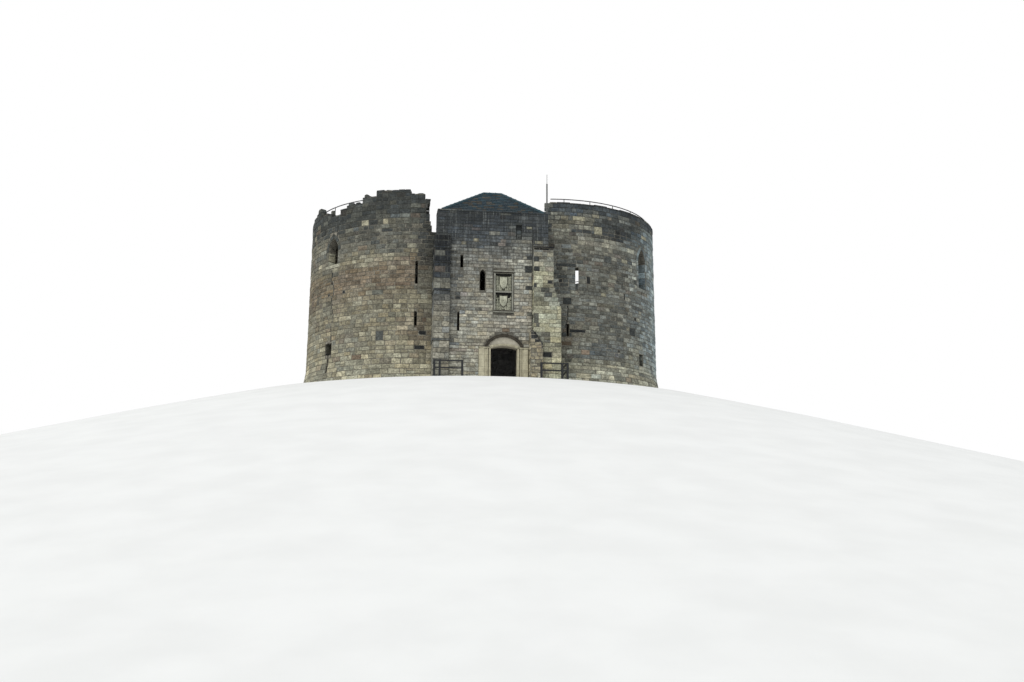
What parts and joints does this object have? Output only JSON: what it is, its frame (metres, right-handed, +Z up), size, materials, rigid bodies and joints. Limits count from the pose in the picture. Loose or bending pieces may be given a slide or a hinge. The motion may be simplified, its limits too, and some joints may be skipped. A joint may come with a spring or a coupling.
{
  "type": "stone castle keep",
  "caption": "Roofless stone keep on a quatrefoil plan: round lobes with ruined parapets about an open court, and a gatehouse with an arched doorway under a hipped slate roof.",
  "frame": {"origin": "centre of the court at the foot of the walls, where the two planes through the re-entrant angles cross", "axes": "+Z up, +X to the right seen from the entrance, -Y towards the entrance"},
  "size_m": [20.54, 22.6225, 11.22],
  "materials": {
    "limestone": "matte",
    "gatehouse_stone": "matte",
    "pale_ashlar": "matte",
    "dressed_stone": "matte",
    "carved_stone": "matte",
    "sooty_stone": "matte",
    "slate": "matte",
    "ridge_tile": "matte",
    "paving": "matte",
    "painted_steel": "satin",
    "weathered_metal": "matte"
  },
  "bodies": {
    "root": {"angle_turret_back": "limestone", "angle_turret_left": "limestone", "angle_turret_right": "limestone", "back_left_parapet": "limestone", "back_left_rail": "painted_steel", "back_left_wall_corner": "limestone", "back_left_wall_rear": "limestone", "back_left_wall_side": "limestone", "back_right_parapet": "limestone", "back_right_rail": "painted_steel", "back_right_wall_corner": "limestone", "back_right_wall_rear": "limestone", "back_right_wall_side": "limestone", "chamber_floor": "paving", "court_floor": "paving", "door_arch": "dressed_stone", "door_jambs": "dressed_stone", "front_left_parapet": "limestone", "front_left_rail": "painted_steel", "front_left_wall_corner": "limestone", "front_left_wall_gate_side": "limestone", "front_left_wall_side": "limestone", "front_right_parapet": "limestone", "front_right_rail": "painted_steel", "front_right_wall_corner": "limestone", "front_right_wall_gate_side": "limestone", "front_right_wall_side": "limestone", "front_wall_by_door": "gatehouse_stone", "front_wall_left": "gatehouse_stone", "front_wall_over_door": "gatehouse_stone", "front_wall_right": "gatehouse_stone", "gate_pier": "pale_ashlar", "gate_pilaster": "gatehouse_stone", "gate_side_wall_left": "limestone", "gate_side_wall_right": "limestone", "hood_mould": "sooty_stone", "landing_guard_left": "painted_steel", "landing_guard_right": "painted_steel", "lightning_rod": "weathered_metal", "lower_panel": "carved_stone", "panel_frame": "carved_stone", "passage_wall_left": "limestone", "passage_wall_over_arch": "limestone", "passage_wall_right": "limestone", "raking_stub": "gatehouse_stone", "ridge_tiles": "ridge_tile", "roof_slates": "slate", "spur_back": "limestone", "spur_left": "limestone", "spur_right": "limestone", "upper_panel": "carved_stone"}
  },
  "joints": []
}
